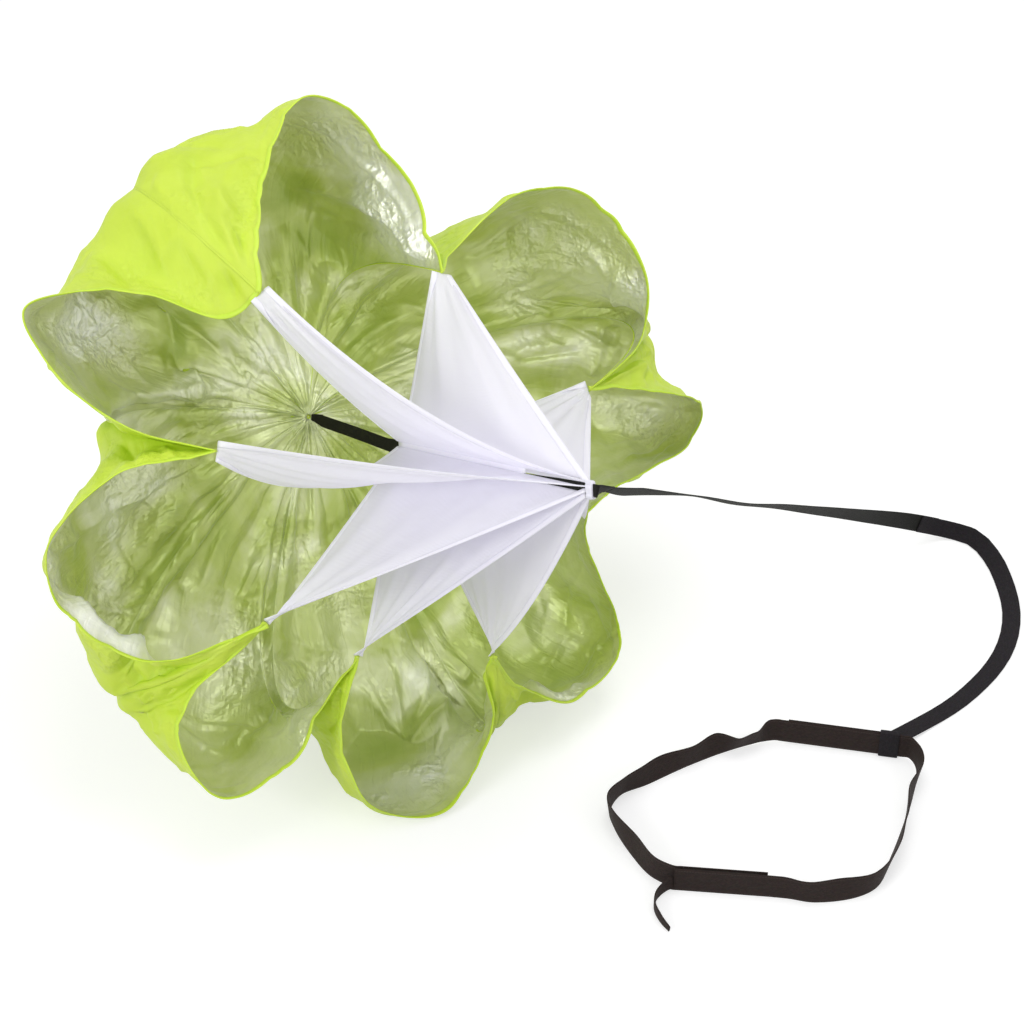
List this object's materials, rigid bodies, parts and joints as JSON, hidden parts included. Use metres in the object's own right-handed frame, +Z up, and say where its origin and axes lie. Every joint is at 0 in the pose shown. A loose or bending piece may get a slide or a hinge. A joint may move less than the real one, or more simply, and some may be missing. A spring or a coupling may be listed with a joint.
{
  "type": "speed_parachute",
  "caption": "Speed parachute for resisted sprint training, standing open, with mesh fins, a webbing tow strap and a waist belt",
  "frame": {"origin": "middle of the box round the canopy and the waist belt, on the ground; the free tow strap isn't counted", "axes": "+X runs from the canopy towards the waist belt, +Y away from the canopy's open side, +Z up"},
  "size_m": [1.2587, 0.7589, 0.7789],
  "materials": {
    "lime_taffeta": "coated taffeta, lime outside and silvered olive inside",
    "white_mesh": "sheer matt",
    "black_webbing": "matt woven",
    "plum_webbing": "matt woven",
    "brown_webbing": "matt woven",
    "hook_tape": "matt pile",
    "white_tape": "matt woven"
  },
  "bodies": {
    "canopy": {"canopy_gore_1": "lime_taffeta", "canopy_gore_2": "lime_taffeta", "canopy_gore_3": "lime_taffeta", "canopy_gore_4": "lime_taffeta", "canopy_gore_5": "lime_taffeta", "canopy_gore_6": "lime_taffeta", "canopy_gore_7": "lime_taffeta", "canopy_gore_8": "lime_taffeta", "mesh_fin_1": "white_mesh", "mesh_fin_2": "white_mesh", "mesh_fin_3": "white_mesh", "mesh_fin_4": "white_mesh", "mesh_fin_5": "white_mesh", "mesh_fin_6": "white_mesh", "mesh_fin_7": "white_mesh", "mesh_fin_8": "white_mesh", "crown_patch": "lime_taffeta", "centre_strap": "black_webbing", "strap_sleeve": "white_mesh", "hub_binding": "white_tape", "leader_strap": "black_webbing", "tow_strap": "plum_webbing"},
    "tow_loop": {"tow_loop": "plum_webbing"},
    "belt": {"belt_band": "brown_webbing", "belt_doubler": "brown_webbing", "loop_tape": "hook_tape", "hook_tape": "hook_tape", "belt_tail": "brown_webbing"}
  },
  "joints": [
    {"name": "loop_swing", "type": "hinge", "parent": "canopy", "child": "tow_loop", "pos_m": [0.5101, -0.0569, 0.005], "axis": [0, 0, 1], "range_deg": [-8, 30]},
    {"name": "belt_slide", "type": "slide", "parent": "tow_loop", "child": "belt", "axis": [0.9827, -0.185, 0], "range_m": [0, 0.1]}
  ]
}
